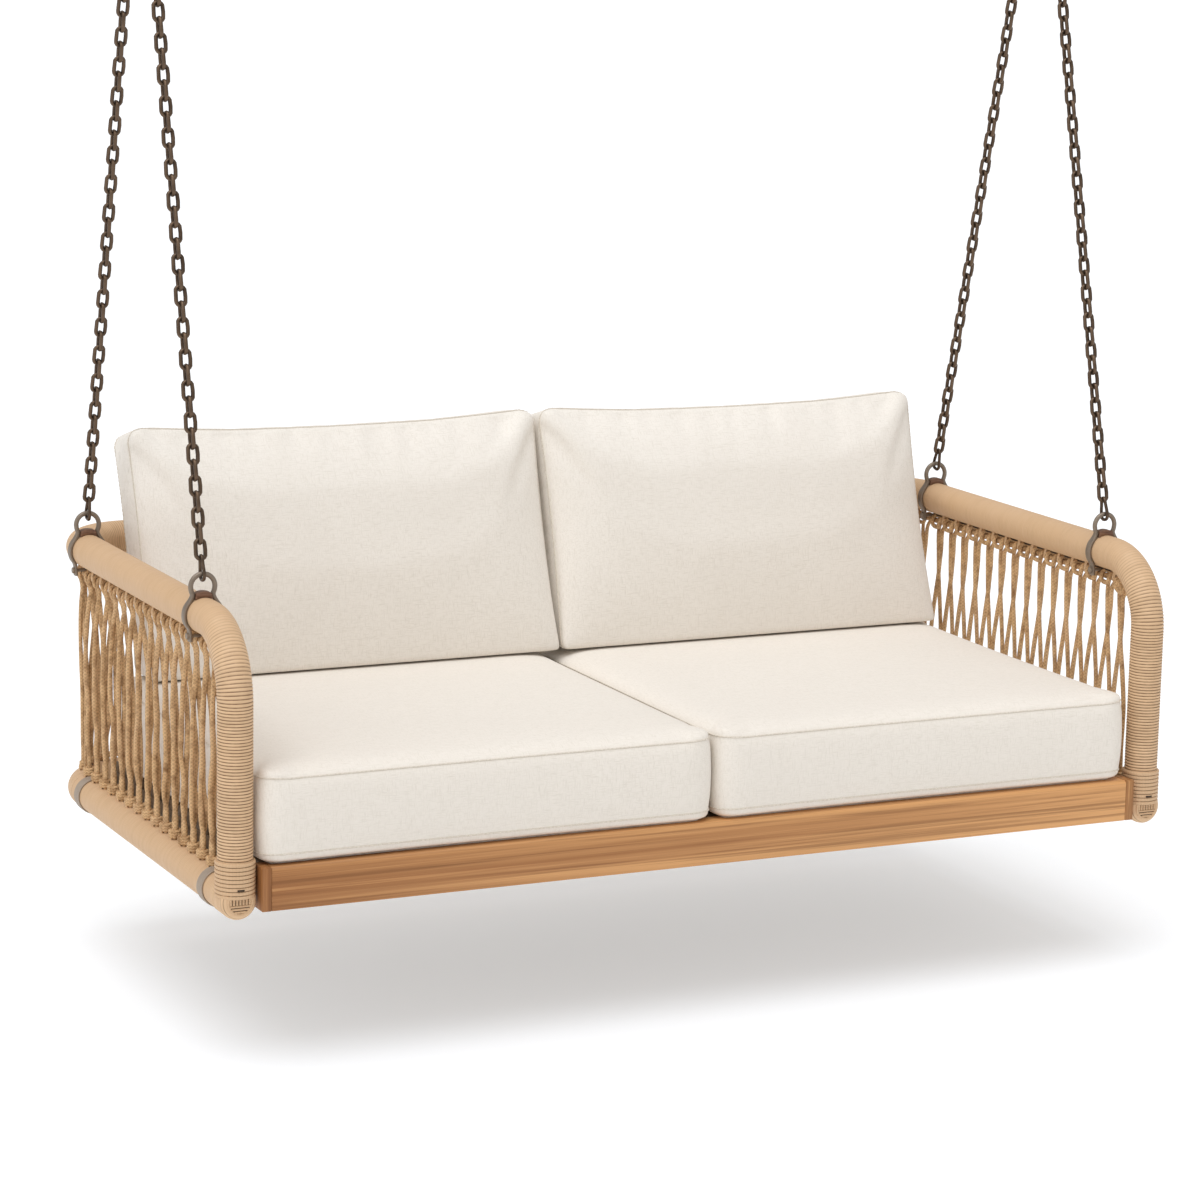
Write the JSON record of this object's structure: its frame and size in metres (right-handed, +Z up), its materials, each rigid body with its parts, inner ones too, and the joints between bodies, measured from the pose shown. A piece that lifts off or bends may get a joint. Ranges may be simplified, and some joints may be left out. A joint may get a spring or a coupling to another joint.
{
  "type": "hanging porch swing seat",
  "caption": "Two-seat porch swing: cord-bound pole frame with knotted rope sides, timber deck, loose cushions, hung on V-chains from ceiling eyes.",
  "frame": {"origin": "on the ceiling plane, midway between the two ceiling plates", "axes": "+X towards the right of the picture, along the swing's width; +Y to the rear of the seat, the front faces -Y; +Z up"},
  "size_m": [1.79, 0.9227, 1.8794],
  "materials": {
    "bound_pole": "matt",
    "rope": "matt",
    "show_timber": "oiled",
    "deck_timber": "oiled",
    "cushion_cloth": "woven",
    "hanger_metal": "satin",
    "dark_metal": "satin"
  },
  "bodies": {
    "ceiling": {"left_ceiling_eye": "dark_metal", "right_ceiling_eye": "dark_metal"},
    "left_link": {"left_swing_link": "dark_metal"},
    "right_link": {"right_swing_link": "dark_metal"},
    "left_chains": {"left_top_ring": "dark_metal", "left_front_chain": "dark_metal", "left_rear_chain": "dark_metal", "left_end_links": "dark_metal"},
    "right_chains": {"right_top_ring": "dark_metal", "right_front_chain": "dark_metal", "right_rear_chain": "dark_metal", "right_end_links": "dark_metal"},
    "seat": {"back_holding_cord": "rope", "back_pole": "bound_pole", "back_rope_panel": "rope", "centre_bearer": "deck_timber", "front_rail": "show_timber", "hanger_bolts": "hanger_metal", "hanger_nuts": "hanger_metal", "hanger_saddles": "hanger_metal", "left_arm_pole": "bound_pole", "left_back_cushion": "cushion_cloth", "left_corner_ropes": "rope", "left_end_block": "show_timber", "left_foot_winding": "rope", "left_front_hanger": "hanger_metal", "left_holding_cord": "rope", "left_lower_pole": "bound_pole", "left_post_foot": "bound_pole", "left_rear_hanger": "hanger_metal", "left_rope_side": "rope", "left_seat_cushion": "cushion_cloth", "left_side_rail": "deck_timber", "lower_back_pole": "bound_pole", "rail_bands": "hanger_metal", "rail_end_caps": "rope", "rail_knots": "rope", "rear_rail": "deck_timber", "rear_uprights": "bound_pole", "right_arm_pole": "bound_pole", "right_back_cushion": "cushion_cloth", "right_corner_ropes": "rope", "right_end_block": "show_timber", "right_foot_winding": "rope", "right_front_hanger": "hanger_metal", "right_holding_cord": "rope", "right_lower_pole": "bound_pole", "right_post_foot": "bound_pole", "right_rear_hanger": "hanger_metal", "right_rope_side": "rope", "right_seat_cushion": "cushion_cloth", "right_side_rail": "deck_timber", "seat_slats": "deck_timber"}
  },
  "joints": [
    {"name": "swing", "type": "hinge", "parent": "ceiling", "child": "left_link", "pos_m": [-0.85, 0, -0.0307], "axis": [1, 0, 0], "range_deg": [-20, 20]},
    {"name": "right_swing", "type": "hinge", "parent": "ceiling", "child": "right_link", "pos_m": [0.85, 0, -0.0307], "axis": [1, 0, 0], "range_deg": [-20, 20]},
    {"name": "sway", "type": "hinge", "parent": "left_link", "child": "left_chains", "pos_m": [-0.85, 0, -0.07115], "axis": [0, 1, 0], "range_deg": [-5, 5]},
    {"name": "right_sway", "type": "hinge", "parent": "right_link", "child": "right_chains", "pos_m": [0.85, 0, -0.07115], "axis": [0, 1, 0], "range_deg": [-5, 5]},
    {"name": "seat_level", "type": "hinge", "parent": "left_chains", "child": "seat", "pos_m": [-0.85, 0, -1.35713], "axis": [0, 1, 0], "range_deg": [-5, 5]}
  ],
  "couplings": [
    {"joint": "right_swing", "follows": "swing", "ratio": 1},
    {"joint": "right_sway", "follows": "sway", "ratio": 1},
    {"joint": "seat_level", "follows": "sway", "ratio": -1}
  ]
}
